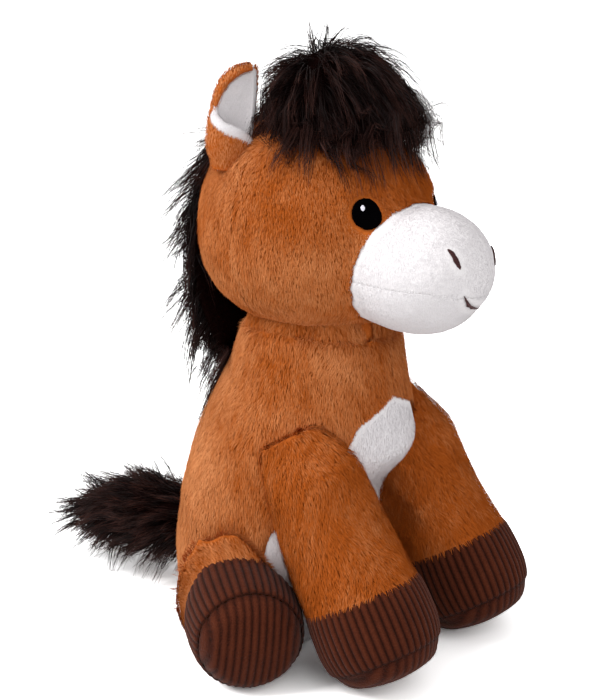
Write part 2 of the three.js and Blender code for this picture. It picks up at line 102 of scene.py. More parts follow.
# Corduroy
RIB_PITCH = 3.2 * MM
RIB_HEIGHT = 0.6 * MM
RIB_SAMPLES = 6
CORD_LIFT = 1.7 * MM
CUFF_TUCK = 3 * MM
SEAM_WIDTH = 0.7 * MM
FRONT_CUFF_DROP = 4 * MM
HIND_CUFF_TILT = 7 * MM
BAND_ROWS = 18
SOLE_RINGS = 30
SOLE_STEPS = 210

# Panels, legs and neck
BIB_SPREAD = 3.5 * MM
BIB_TOP_CUT = 2.5 * MM
BIB_TOP_SLOPE = 0.42
BIB_SIDE_SPREAD = 7 * MM
BELLY_DENT = 18 * MM
BELLY_DENT_TOP = 95 * MM
BELLY_DENT_WIDTH = 27 * MM
MUZZLE_FULLNESS = 3 * MM
EYE_MARGIN = 1.2 * MM
STITCH_REACH = 2.5 * MM
THREAD_PITCH = 0.9 * MM
THREAD_SLANT = (0.5, 0.4, 0.77)
GLINT_SHIFT = np.array((1.2, 1.7, 0)) * MM
LEG_TUCK = 20 * MM
LEG_BLEND = 18 * MM
LEG_REACH = 60 * MM
SHOULDER_SLOPE = 26 * MM
SLOPE_SHARE = {"front": 0.55, "hind": 0.35}
# Pile tones painted as light and shade: the front legs, chest and neck darker as if in shade, the back
# and hind legs paler as if lit
LEG_SHADE_TONE = {"front": 0.05, "hind": 0.3}
CHEST_SHADE_TONE = 0.3
BACK_LIT_TONE = 0.7
CHEEK_TONE = 0.36
BROW_SHADOW_TONE = 0.02
NECK_SHADE_TONE = 0.22
HOOF_SHRINK = 3 * MM
THIGH_BULGE = 5 * MM
THIGH_RISE = 10 * MM
THIGH_LENGTH = 22 * MM
THIGH_FREE = 14 * MM
FORELEG_BULGE = 6 * MM
FORELEG_LENGTH = 62 * MM
SOLE_CROWN = 3 * MM
SOLE_SHIFT = 2.5 * MM
HEAD_SEAM_TOP = 190 * MM
BROW_HEIGHT = 185 * MM
BROW_BACK = 5 * MM
NECK_LOW = 131 * MM
NECK_HIGH = 168 * MM
NECK_BLEND = 8 * MM
NECK_STEPS = 72

# Long hair
HAIR_STEPS = 9
LOCK_STRANDS = 16
HAIR_WIDTH = 0.3 * MM
HAIR_STRAY = 0.1
HAIR_WAVE = 0.25
HAIR_SPREAD = 1.8 * MM
HAIR_FLICK = 1.1 * MM
HAIR_GATHER = 0.15
HAIR_WISPS = 0.22
HAIR_SWAY = 0.28
EAR_ROOM = 6 * MM
EAR_INNER = 9 * MM
CROWN_SHIFT = np.array((-9.5, 15, 0)) * MM
CROWN_REACH = 36 * MM
FRINGE_WAY = np.array((0.574, -0.819, 0))
FORELOCK_HAIR = 24 * MM
CREST_HAIR = 15 * MM
FORELOCK_LOCKS = 600
MANE_LOCKS = 560
TAIL_LOCKS = 560
FRINGE_LIFT = 9 * MM
FRINGE_SLOPE = 5 * MM
MANE_NAPE = 160 * MM
MANE_CROWN = 235 * MM
MANE_TUCK = 9 * MM
MANE_CLOSE = 5 * MM
MANE_HAIR = 38 * MM
TAIL_HAIR = 23 * MM
TAIL_TUCK = 16 * MM
TAIL_BLEND = 10 * MM

# Ears
EAR_HALF_WIDTH = 9.4 * MM
EAR_CUP = 4.6 * MM
EAR_SHARE = 0.905
EAR_ROOT = 6 * MM
EAR_SET_BACK = 2 * MM
EAR_SET_IN = 1.4 * MM
EAR_EDGE_HEIGHTS = (0.18, 0.23, 0.29, 0.34, 0.42, 0.52, 0.7, 0.9)
EAR_EDGE_TURNS = (270, 245, 203, 147, 108, 70, 68, 84)
EAR_RIM = 22
EAR_BROWN_ROLL = 1.7 * MM
EAR_WHITE_ROLL = 3 * MM


# Shaders: a socket with arithmetic, and a material that adds nodes
class Value:
    """A shader value; sums and products of it add Math nodes."""

    def __init__(self, finish, socket):
        self.finish = finish
        self.socket = socket

    def maths(self, operation, *others):
        sockets = dict(enumerate((self, *others)))
        return self.finish.add("ShaderNodeMath", {"operation": operation}, sockets)

    def __add__(self, other):
        return self.maths("ADD", other)

    def __sub__(self, other):
        return self.maths("SUBTRACT", other)

    def __mul__(self, other):
        return self.maths("MULTIPLY", other)


class Nodes:
    """A shader's node tree, with one method that adds any node."""

    def __init__(self, tree):
        self.tree = tree

    def link(self, socket, value):
        if isinstance(value, Value):
            self.tree.links.new(value.socket, socket)
        else:
            socket.default_value = value

    def add(self, kind, settings=None, sockets=None, output=0):
        node = self.tree.nodes.new(kind)
        for name, setting in (settings or {}).items():
            if name == "stops":
                self.stops(node.color_ramp, setting)
            else:
                setattr(node, name, setting)
        for name, value in (sockets or {}).items():
            self.link(node.inputs[name], value)
        return Value(self, node.outputs[output])

    def stops(self, ramp, stops):
        while len(ramp.elements) < len(stops):
            ramp.elements.new(1)
        for element, (place, colour) in zip(ramp.elements, stops):
            element.position = place
            element.color = (*colour, 1)

    def seen(self):
        """1 where the camera, a gloss or a clear piece looks at the surface, and 0 for light."""
        camera = self.add("ShaderNodeLightPath")
        for ray in ("Is Glossy Ray", "Is Transmission Ray"):
            camera = camera.maths("MAXIMUM", self.add("ShaderNodeLightPath", output=ray))
        return camera


class Finish(Nodes):
    """A material with one Principled surface."""

    def __init__(self, name, **surface):
        self.material = bpy.data.materials.new(name)
        self.material.use_nodes = True
        super().__init__(self.material.node_tree)
        self.surface = self.tree.nodes["Principled BSDF"]
        self.set(**surface)

    def ramp(self, value, *stops):
        return self.add("ShaderNodeValToRGB", {"stops": stops}, {"Fac": value})

    def mix(self, share, first, second):
        settings = {"data_type": "RGBA"}
        return self.add("ShaderNodeMix", settings, {0: share, 6: first, 7: second}, output=2)

    def noise(self, size, detail=2):
        place = self.add("ShaderNodeTexCoord", output=3)
        return self.add("ShaderNodeTexNoise", {}, {"Vector": place, "Scale": 1 / size, "Detail": detail})

    def kept(self, name):
        """A number kept on the piece's points."""
        return self.add("ShaderNodeAttribute", {"attribute_name": name}, output=2)

    def strand(self):
        """A strand's tone, and the share of its length from the root."""
        place = self.add("ShaderNodeUVMap", {"uv_map": "OFBake"})
        tone = self.add("ShaderNodeSeparateXYZ", {}, {0: place})
        return tone, Value(self, tone.socket.node.outputs[1])

    def bump(self, height, distance):
        self.set(Normal=self.add("ShaderNodeBump", {}, {"Height": height, "Distance": distance}))

    def set(self, **surface):
        for name, value in surface.items():
            self.link(self.surface.inputs[name.replace("_", " ")], value)


def rgb(red, green, blue):
    """A colour as a screen shows it, 0 to 255, in linear light."""
    shares = [channel / 255 for channel in (red, green, blue)]
    return [s / 12.92 if s < 0.04045 else ((s + 0.055) / 1.055) ** 2.4 for s in shares]


def pile_finish(name, root, tip, light):
    """Short pile: dark at the root, lighter at the tip, and lighter in some strands than others."""
    finish = Finish(name, Roughness=0.8, Specular_IOR_Level=0)
    tone, along = finish.strand()
    plain = finish.ramp(along, (0, root), (0.6, tip), (1, tip))
    pale = finish.ramp(along, (0, root), (0.5, light), (1, light))
    finish.set(Base_Color=finish.mix(tone, plain, pale))
    return finish.material


def backing_finish(name, dark, pale):
    """The cloth that the pile grows from."""
    finish = Finish(name, Roughness=0.95, Specular_IOR_Level=0)
    weave = finish.noise(1.2 * MM, 3)
    finish.set(Base_Color=finish.ramp(weave, (0.3, dark), (0.7, pale)))
    finish.bump(weave, 0.3 * MM)
    return finish.material


def hair_finish():
    finish = Finish("dark_hair", Roughness=0.45, Specular_IOR_Level=0.06)
    tone, along = finish.strand()
    black = finish.ramp(along, (0, rgb(7, 2, 2)), (0.6, rgb(17, 6, 5)), (1, rgb(40, 20, 17)))
    brown = finish.ramp(along, (0, rgb(12, 4, 3)), (0.6, rgb(34, 15, 12)), (1, rgb(92, 60, 52)))
    finish.set(Base_Color=finish.mix(tone, black, brown))
    return finish.material


def corduroy_finish():
    """Ribbed cloth: the rib's height is kept on its points, and its fine nap is noise; the valleys
    between ribs and the furrows at seams are painted darker as shade.
    """
    finish = Finish("corduroy", Roughness=0.9, Sheen_Weight=0.06, Sheen_Roughness=0.4)
    finish.set(Specular_IOR_Level=0.06)
    nap = finish.noise(0.7 * MM, 4)
    rib_shade_and_nap = finish.kept("rib") * 0.65 + nap * 0.5 + finish.noise(9 * MM) * 0.25 - 0.22
    dark, middle, pale = rgb(27, 10, 4), rgb(57, 23, 12), rgb(86, 41, 24)
    finish.set(Base_Color=finish.ramp(rib_shade_and_nap, (0.1, dark), (0.5, middle), (0.95, pale)))
    finish.bump(nap, 0.5 * MM)
    return finish.material


def thread_finish(name, dark, pale, shine):
    """Satin stitch: rows of thread, with a little fuzz."""
    finish = Finish(name, Roughness=0.6, Specular_IOR_Level=shine)
    fuzz = finish.noise(0.35 * MM, 3)
    finish.set(Base_Color=finish.ramp(finish.kept("rib") * 0.7 + fuzz * 0.3, (0.1, dark), (0.9, pale)))
    finish.bump(fuzz, 0.08 * MM)
    return finish.material


# Meshes
def vectors_of(obj, kind):
    vectors = np.empty(len(obj.data.vertices) * 3, np.float32)
    obj.data.vertices.foreach_get(kind, vectors)
    return vectors.reshape(-1, 3)


def points_of(obj):
    return vectors_of(obj, "co")


def normals_of(obj):
    return vectors_of(obj, "normal")


def move_points(obj, points):
    obj.data.vertices.foreach_set("co", np.ascontiguousarray(points, np.float32).ravel())
    obj.data.update()


def keep_rib(obj, values):
    """Keeps the height of ribs or threads on a piece's points."""
    attribute = obj.data.attributes.new("rib", "FLOAT", "POINT")
    attribute.data.foreach_set("value", np.ascontiguousarray(values, np.float32))


def unit(vectors):
    return vectors / np.maximum(np.linalg.norm(vectors, axis=-1, keepdims=True), 1e-9)


def shown(name, data):
    obj = bpy.data.objects.new(name, data)
    bpy.context.scene.collection.objects.link(obj)
    return obj


def from_bmesh(name, bm):
    mesh = bpy.data.meshes.new(name)
    bm.to_mesh(mesh)
    bm.free()
    return shown(name, mesh)


def copied(*nodes):
    """The nodes' meshes as one bmesh, with shared points merged."""
    bm = bmesh.new()
    for node in nodes:
        bm.from_mesh(frame["nodes"][node].data)
    bmesh.ops.remove_doubles(bm, verts=bm.verts, dist=1e-6)
    return bm


def applied(obj):
    """The object with its modifiers applied."""
    graph = bpy.context.evaluated_depsgraph_get()
    mesh = bpy.data.meshes.new_from_object(obj.evaluated_get(graph))
    obj.modifiers.clear()
    obj.data = mesh
    return obj


def modified(obj, kind, **settings):
    modifier = obj.modifiers.new(kind.lower(), kind)
    for name, setting in settings.items():
        setattr(modifier, name, setting)
    return applied(obj)


def smoothed(obj, times):
    modified(obj, "SMOOTH", factor=0.5, iterations=times)
    obj.data.shade_smooth()
    return obj


def refined(obj):
    """The object with its faces split once, and smooth."""
    modified(obj, "SUBSURF", levels=1, render_levels=1)
    obj.data.shade_smooth()
    return obj


def spun(line, centre, axis, steps):
    """A line of places, turned all the way round an axis, with its points in the order of the turn."""
    bm = bmesh.new()
    columns = []
    for step in range(steps):
        turn = Matrix.Rotation(math.tau * step / steps, 3, axis)
        columns.append([bm.verts.new(centre + turn @ (place - centre)) for place in line])
    for first, second in zip(columns, columns[1:] + columns[:1]):
        for corners in zip(first, first[1:], second[1:], second):
            bm.faces.new(corners)
    bm.normal_update()
    return bm


def blown_up(obj, limit):
    """Blows a closed skin up with cloth and pressure, with each point held near where it was."""
    start = points_of(obj)
    cloth = obj.modifiers.new("cloth", "CLOTH")
    cloth.settings.use_pressure = True
    cloth.settings.uniform_pressure_force = PRESSURE
    cloth.settings.effector_weights.gravity = 0
    cloth.point_cache.frame_start = 1
    cloth.point_cache.frame_end = SWELL_FRAMES
    for step in range(1, SWELL_FRAMES + 1):
        bpy.context.scene.frame_set(step)
    applied(obj)
    bpy.context.scene.frame_set(1)
    shift = points_of(obj) - start
    far = np.linalg.norm(shift, axis=1, keepdims=True)
    move_points(obj, start + shift * np.minimum(1, limit / np.maximum(far, 1e-9)))


def outer_shell(obj):
    """Keeps the largest closed surface, without bubbles inside it."""
    bm = bmesh.new()
    bm.from_mesh(obj.data)
    left = set(bm.verts)
    shells = []
    while left:
        shell = {left.pop()}
        edge = list(shell)
        while edge:
            near = {link.other_vert(v) for v in edge for link in v.link_edges} & left
            left -= near
            shell |= near
            edge = list(near)
        shells.append(shell)
    largest = max(shells, key=len)
    bmesh.ops.delete(bm, geom=[v for v in bm.verts if v not in largest], context="VERTS")
    bm.to_mesh(obj.data)
    bm.free()


# Places on and near surfaces
def tree_of(obj):
    mesh = obj.data
    mesh.calc_loop_triangles()
    return BVHTree.FromPolygons([v.co for v in mesh.vertices], [t.vertices for t in mesh.loop_triangles])


def distance_to(tree, points, reach=1.0):
    """Each point's distance to a surface."""
    found = (tree.find_nearest(Vector(p), reach)[3] for p in points)
    return np.array([reach if far is None else far for far in found])


def depth_in(tree, points, reach=0.02):
    """How deep each point lies inside a closed surface; 0 or less outside."""
    depths = np.full(len(points), -reach)
    for i, point in enumerate(points):
        near, normal, _, far = tree.find_nearest(Vector(point), reach)
        if near is not None:
            depths[i] = far if (near - Vector(point)).dot(normal) > 0 else -far
    return depths


def faced(tree, points):
    """The facing of a surface where it is nearest to each point."""
    return np.array([tree.find_nearest(Vector(point))[1] for point in points])


def eased(share):
    """A smooth step from 0 to 1."""
    share = np.clip(share, 0, 1)
    return share * share * (3 - 2 * share)


def remeshed(name, nodes, voxel, smooth, depth):
    """The nodes' outer form as one smooth closed mesh, at some depth under their faces."""
    obj = from_bmesh(name, copied(*nodes))
    modified(obj, "REMESH", mode="VOXEL", voxel_size=voxel)
    outer_shell(obj)
    outside = tree_of(obj)
    smoothed(obj, smooth)
    points = points_of(obj)
    wanted = depth(points) if callable(depth) else depth
    short = wanted - depth_in(outside, points)
    short = np.where(short > 0, 0.6 * short, short)
    move_points(obj, points - short[:, None] * normals_of(obj))
    return obj


def skin(name, nodes, voxel=SKIN_VOXEL, depth=SKIN_DEPTH, swell=SKIN_SWELL, smooth=8):
    """A stuffed skin over some nodes: remeshed as one closed form, drawn in, and blown up again."""
    obj = remeshed(name, nodes, voxel, smooth, depth)
    move_points(obj, points_of(obj) - swell / 2 * normals_of(obj))
    blown_up(obj, swell)
    refined(smoothed(obj, 2))
    points = points_of(obj)
    points[:, 2] = np.maximum(points[:, 2], FLOOR_CLEARANCE)
    move_points(obj, points)
    return obj


class Scatter:
    """Places spread evenly over a skin, where numbers kept for its points can be read."""

    def __init__(self, obj, density, rng):
        mesh = obj.data
        mesh.calc_loop_triangles()
        corners = np.empty(len(mesh.loop_triangles) * 3, np.int32)
        mesh.loop_triangles.foreach_get("vertices", corners)
        corners = corners.reshape(-1, 3)
        first, second, third = points_of(obj)[corners].transpose(1, 0, 2)
        areas = np.linalg.norm(np.cross(second - first, third - first), axis=1) / 2
        picks = rng.choice(len(areas), int(areas.sum() * density), p=areas / areas.sum())
        share = np.sqrt(rng.random(len(picks)))
        turn = rng.random(len(picks))
        self.corners = corners[picks]
        self.weights = np.stack([1 - share, share * (1 - turn), share * turn], 1)
        self.obj = obj

    def keep(self, kept):
        self.corners = self.corners[kept]
        self.weights = self.weights[kept]

    def read(self, values):
        return np.einsum("ij,ij...->i...", self.weights, values[self.corners])

    def points(self):
        return self.read(points_of(self.obj))

    def normals(self):
        return unit(self.read(normals_of(self.obj)))


def ripple(points, size, rng):
    """Smooth noise, mostly between -1 and 1, whose bumps are about a size across."""
    waves = unit(rng.normal(size=(8, 3))) * rng.uniform(0.6, 1.5, (8, 1)) * math.tau / (2 * size)
    return np.sin(points @ waves.T + rng.uniform(0, math.tau, 8)).sum(1) / 3


# Strands
def ribbons(name, lines, sides, tones, shading=None):
    """Flat strands along lines of points, pointed at the root and the tip."""
    count, rings = lines.shape[:2]
    pairs = rings - 2
    size = 2 * pairs + 2
    taper = np.linspace(1, 0.45, pairs)[None, :, None]
    edges = np.stack([lines[:, 1:-1] - sides * taper, lines[:, 1:-1] + sides * taper], 2)
    points = np.concatenate([lines[:, :1], edges.reshape(count, 2 * pairs, 3), lines[:, -1:]], 1)
    points[:, :, 2] = np.maximum(points[:, :, 2], FLOOR_CLEARANCE)
    loops = [0, 2, 1]
    loops += [corner for i in range(1, 2 * pairs - 1, 2) for corner in (i, i + 1, i + 3, i + 2)]
    loops += [size - 3, size - 2, size - 1]
    first = np.arange(count)[:, None]
    corners = (np.array(loops)[None] + first * size).ravel()
    starts = np.append(0, np.arange(3, len(loops), 4))[None] + first * len(loops)
    mesh = bpy.data.meshes.new(name)
    mesh.vertices.add(count * size)
    strands = shown(name, mesh)
    move_points(strands, points)
    mesh.loops.add(len(corners))
    mesh.loops.foreach_set("vertex_index", corners.astype(np.int32))
    mesh.polygons.add(starts.size)
    mesh.polygons.foreach_set("loop_start", starts.ravel().astype(np.int32))
    mesh.update(calc_edges=True)
    along = np.concatenate([[0], np.repeat(np.arange(1, rings - 1), 2), [rings - 1]]) / (rings - 1)
    map_points = np.stack([np.repeat(tones, size), np.tile(along, count)], 1)
    strand_map = mesh.uv_layers.new(name="OFBake")
    strand_map.uv.foreach_set("vector", map_points[corners].astype(np.float32).ravel())
    mesh.shade_smooth()
    if shading is not None:
        mesh.normals_split_custom_set_from_vertices(np.repeat(shading, size, 0))
    return strands


def pile(name, obj, length, seed, lie=DOWN, inside=None, crease=None, border=PILE_BORDER,
         density=PILE_DENSITY, width=PILE_WIDTH, tone=PILE_TONE, grain=1):
    """Short pile on a skin: narrow blades that lean along the lie of the cloth.

    It grows where inside, a depth within a border, is over 0. It is shorter near that border, and
    stands up, painted darker as shade, where crease falls from 1 to 0.
    """
    rng = np.random.default_rng(seed)
    places = Scatter(obj, density, rng)
    if inside is not None:
        places.keep(places.read(inside) > 0)
    roots, normals = places.points(), places.normals()
    count = len(roots)
    flow = unit(lie - normals * (lie * normals).sum(1, keepdims=True) + 1e-4)
    turn = PILE_SWIRL * ripple(roots, SWIRL_SIZE, rng) + PILE_STRAY * rng.normal(size=count)
    across = np.cross(normals, flow)
    flow = flow * np.cos(turn)[:, None] + across * np.sin(turn)[:, None]
    tuft = ripple(roots * (1, 1, 0.4), TUFT_SIZE, rng)
    lean = PILE_LEAN + 2 * tuft + 3 * rng.normal(size=count)
    reach = length * rng.uniform(0.75, 1.1, count) * (1 + 0.05 * tuft)
    tones = tone if np.isscalar(tone) else places.read(tone)
    tones = tones + grain * (0.09 * tuft + 0.1 * ripple(roots, SHADE_SIZE, rng))
    tones += 0.11 * grain * rng.normal(size=count)
    if inside is not None:
        reach *= np.clip(places.read(inside) / border, 0.3, 1)
    if crease is not None:
        share = places.read(crease)
        reach *= 1.1 - 0.1 * share
        lean -= CREASE_LEAN * (1 - share)
        # Painted shade: the pile is darker in the crease
        tones -= CREASE_SHADE_TONE * (1 - share)
    reach = reach[:, None]
    tilt = np.radians(lean)[:, None]
    rise = np.cos(tilt - BLADE_RISE) * normals + np.sin(tilt - BLADE_RISE) * flow
    fall = np.cos(tilt + BLADE_FALL) * normals + np.sin(tilt + BLADE_FALL) * flow
    middles = roots + 0.5 * reach * rise
    lines = np.stack([roots, middles, middles + 0.5 * reach * fall], 1)
    sides = unit(np.cross(rise, normals))[:, None] * width / 2
    shading = unit(normals + 0.08 * grain * rng.normal(size=(count, 3)))
    return ribbons(name, lines, sides, np.clip(tones, 0, 1), shading)


def piece(obj, material, *replaced):
    """Gives a piece its finish, looks up the slot of that finish, and hides the nodes that it stands
    for.
    """
    obj.data.materials.clear()
    obj.data.materials.append(material)
    next(slot for slot, finishes in SLOTS.items() if material in finishes)
    if replaced:
        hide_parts(*replaced)
    return obj


def riding(body, obj, material, *replaced):
    """A piece that moves with a body."""
    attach(piece(obj, material, *replaced), body)


def padded(obj, material, *replaced):
    """A stuffed skin."""
    piece(obj, material, *replaced)
    return obj


def hinge_of(name):
    """The point that a joint turns about."""
    return next(Vector(joint["pos_m"]) for joint in frame["joints"] if joint["name"] == name)


def bend(body, joint, reach, *pieces):
    """Bakes each piece's placing into its points; the joint's hinge is looked up, but nothing is blended
    from the torso to the body.
    """
    hinge = hinge_of(joint)
    for obj in pieces:
        tuple(hinge - reach)
        tuple(hinge + reach)
        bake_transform(obj)


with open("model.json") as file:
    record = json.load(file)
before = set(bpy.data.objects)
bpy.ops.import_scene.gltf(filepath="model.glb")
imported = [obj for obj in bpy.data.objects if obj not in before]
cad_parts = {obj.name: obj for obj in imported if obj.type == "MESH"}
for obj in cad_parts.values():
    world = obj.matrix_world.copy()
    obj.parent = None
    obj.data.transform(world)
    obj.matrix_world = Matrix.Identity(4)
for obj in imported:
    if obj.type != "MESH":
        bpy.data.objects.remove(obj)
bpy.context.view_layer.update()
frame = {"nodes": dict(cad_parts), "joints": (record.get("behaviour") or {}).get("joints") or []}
node_trees = {name: tree_of(node) for name, node in frame["nodes"].items()}


def nearest(nodes, points):
    """Each point's distance to the nearest of some nodes."""
    return np.min([distance_to(node_trees[node], points, 0.06) for node in nodes], axis=0)


def within(obj, own, others):
    """How far each of a skin's points lies inside its own panels' border with others."""
    points = points_of(obj) + SKIN_DEPTH * normals_of(obj)
    return nearest(others, points) - nearest(own, points)


brown_backing = backing_finish("brown_backing", rgb(174, 88, 33), rgb(192, 102, 44))
white_backing = backing_finish("white_backing", rgb(228, 224, 225), rgb(236, 232, 233))
dark_backing = backing_finish("dark_backing", rgb(9, 3, 3), rgb(18, 7, 6))
brown_pile = pile_finish("brown_pile", rgb(160, 77, 25), rgb(172, 85, 30), rgb(226, 151, 97))
white_pile = pile_finish("white_pile", rgb(226, 221, 223), rgb(234, 230, 232), rgb(244, 240, 242))
dark_hair = hair_finish()
corduroy = corduroy_finish()
black_stitch = thread_finish("black_stitch", rgb(1, 1, 1), rgb(6, 4, 6), 0)
pale_stitch = thread_finish("pale_stitch", rgb(214, 210, 224), rgb(246, 244, 252), 0.2)
brown_stitch = thread_finish("brown_stitch", rgb(40, 18, 18), rgb(72, 42, 42), 0.1)
SLOTS = {
    "brown_plush": (brown_backing, brown_pile),
    "white_plush": (white_backing, white_pile),
    "dark_long_pile": (dark_backing, dark_hair),
    "brown_corduroy": (corduroy,),
    "black_thread": (black_stitch,),
    "pale_thread": (pale_stitch,),
    "brown_thread": (brown_stitch,),
}
# Each thread's finish, its height over the skin, its scale, and how much thinner it is
STITCHES = {
    "eye": (black_stitch, 1 * MM, 1, 0),
    "eye_glint": (pale_stitch, 1.7 * MM, 0.8, 0),
    "nostril": (brown_stitch, 0.5 * MM, 1.05, 0),
    "smile": (brown_stitch, 1 * MM, 1.5, 0.35 * MM),
}


def patch(name, obj, inside, lift=0.3 * MM, thickness=0.5 * MM):
    """A sewn-in panel: the part of a skin inside a border, as a thin sheet just over it."""
    bm = bmesh.new()
    bm.from_mesh(obj.data)
    depth = {vert: float(inside[vert.index]) for vert in bm.verts}
    outside = [face for face in bm.faces if sum(depth[vert] for vert in face.verts) < 0]
    bmesh.ops.delete(bm, geom=outside, context="FACES")
    moves = {}
    for vert in bm.verts:
        if vert.is_boundary:
            near = [edge.other_vert(vert) for edge in vert.link_edges]
            slope = sum(((v.co - vert.co) * (depth[v] - depth[vert]) for v in near), Vector())
            moves[vert] = slope.normalized() * -depth[vert]
    for vert in bm.verts:
        vert.co += vert.normal * lift + moves.get(vert, Vector())
        vert.co.z = max(vert.co.z, FLOOR_CLEARANCE + thickness)
    panel = modified(from_bmesh(name, bm), "SOLIDIFY", thickness=thickness, offset=-1)
    panel.data.shade_smooth()
    return panel


# The torso
TORSO_NODES = ("torso_side_right", "torso_side_left", "torso_stuffing")
torso = skin("torso_skin", (*TORSO_NODES, "belly_panel"))
torso_form = points_of(torso) + SKIN_DEPTH * normals_of(torso)


def draw_in_belly():
    """Draws the belly in between the front legs."""
    points = points_of(torso)
    low = eased((BELLY_DENT_TOP - points[:, 2]) / (30 * MM))
    middle = np.exp(-(points[:, 0] / BELLY_DENT_WIDTH) ** 2) * eased(-points[:, 1] / (30 * MM))
    points[:, 1] += BELLY_DENT * low * middle
    move_points(torso, points)


draw_in_belly()
torso_tree = tree_of(torso)


def bib_border():
    """The depth of the torso's points inside the white belly panel, which ends in a blunt peak."""
    heights = torso_form[:, 2]
    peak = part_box("belly_panel")[1][2] - BIB_TOP_CUT - BIB_TOP_SLOPE * np.abs(torso_form[:, 0])
    inside = nearest(TORSO_NODES[:2], torso_form) - nearest(("belly_panel",), torso_form) + BIB_SPREAD
    ahead = eased((12 * MM - torso_form[:, 1]) / (15 * MM))
    inside += BIB_SIDE_SPREAD * ahead * eased((75 * MM - heights) / (15 * MM))
    return np.minimum(inside, peak - heights)


# The head
HEAD_NODES = ("face_panel", "head_back_panel", "head_stuffing")
MUZZLE_NODES = ("muzzle_upper", "muzzle_chin")
EMBROIDERY = [f"{thread}_{side}" for thread in ("eye", "nostril") for side in SIDES] + ["smile"]


def on_muzzle(points):
    return nearest(MUZZLE_NODES, points) < nearest(HEAD_NODES[:2], points)


def head_depth(points):
    return np.where(on_muzzle(points), MUZZLE_DEPTH, SKIN_DEPTH)


head = skin("head_skin", (*HEAD_NODES, *MUZZLE_NODES), depth=head_depth)


def fill_muzzle():
    """Rounds the muzzle out at the top of its front."""
    points = points_of(head)
    low, high = (np.array(corner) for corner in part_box("muzzle_upper"))
    way = unit(points - np.array(((low + high)[0] / 2, high[1], low[2])))
    full = eased((way @ unit(np.array((0, -1, 0.7))) - 0.72) / 0.25) * on_muzzle(points)
    move_points(head, points + MUZZLE_FULLNESS * full[:, None] * normals_of(head))
    smoothed(head, 3)


fill_muzzle()
head_tree = tree_of(head)


def make_torso(legs):
    """The torso with its pile, creased along the legs' seams and down the middle of the back, where the
    pile stands up and is painted darker as shade.
    """
    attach(padded(torso, brown_backing, *TORSO_NODES), "torso")
    inside = bib_border()
    riding("torso", patch("belly_panel", torso, inside), white_backing, "belly_panel")
    points = points_of(torso)
    seams = [distance_to(leg.tree, points, 0.02) for leg in legs]
    behind = np.where(points[:, 1] > 0, np.abs(points[:, 0]), 1)
    crease = eased(np.min([*seams, behind], axis=0) / CREASE_WIDTH)
    # Painted light and shade: the pile paler towards the back, which faces the light, and darker at the
    # chest
    tone = CHEST_SHADE_TONE + (BACK_LIT_TONE - CHEST_SHADE_TONE) * eased((points[:, 1] + 5 * MM) / (35 * MM))
    for side, sign in zip(SIDES, (-1, 1)):
        fur = pile(f"torso_pile_{side}", torso, TORSO_PILE, 10 + sign, crease=crease, tone=tone,
                   inside=np.minimum(-inside, 30 * sign * points[:, 0]))
        riding("torso", fur, brown_pile)
    fur = pile("belly_pile", torso, BELLY_PILE, 12, inside=inside, grain=0.3,
               density=BELLY_DENSITY, width=BELLY_WIDTH)
    riding("torso", fur, white_pile)


def make_head():
    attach(padded(head, brown_backing, *HEAD_NODES), "head")
    face, muzzle = HEAD_NODES[:2], MUZZLE_NODES
    white = within(head, muzzle, face)
    upper = within(head, muzzle[:1], muzzle[1:])
    for node, half in zip(muzzle, (upper, -upper)):
        riding("head", patch(node, head, np.minimum(white, half)), white_backing, node)
    points = points_of(head) + SKIN_DEPTH * normals_of(head)
    clear = nearest(EMBROIDERY, points) - EYE_MARGIN
    front = within(head, face[:1], face[1:])
    seam = 0.2 + 0.8 * eased((HEAD_SEAM_TOP - points[:, 2]) / (15 * MM))
    crease = 1 - seam * (1 - eased(np.abs(front) / (CREASE_WIDTH / 2)))
    # Painted shadow of the forelock: the pile is darker on the brow, high up and at the front
    forelock_shadow = eased((points[:, 2] - BROW_HEIGHT) / (25 * MM))
    forelock_shadow = forelock_shadow * eased((BROW_BACK - points[:, 1]) / (20 * MM))
    for name, half in (("face", front), ("head_back", -front)):
        fur = pile(f"{name}_pile", head, HEAD_PILE, 21, crease=crease, border=0.4 * MM,
                   inside=np.min([-white / 3, clear / 8, half], axis=0),
                   tone=CHEEK_TONE + (BROW_SHADOW_TONE - CHEEK_TONE) * forelock_shadow)
        riding("head", fur, brown_pile)
    fur = pile("muzzle_pile", head, MUZZLE_PILE, 22, density=MUZZLE_DENSITY, width=MUZZLE_WIDTH,
               grain=0.25, inside=np.minimum(white + 0.8 * MM, clear),
               crease=0.9 + 0.1 * eased(np.abs(upper) / CREASE_WIDTH))
    riding("head", fur, white_pile)


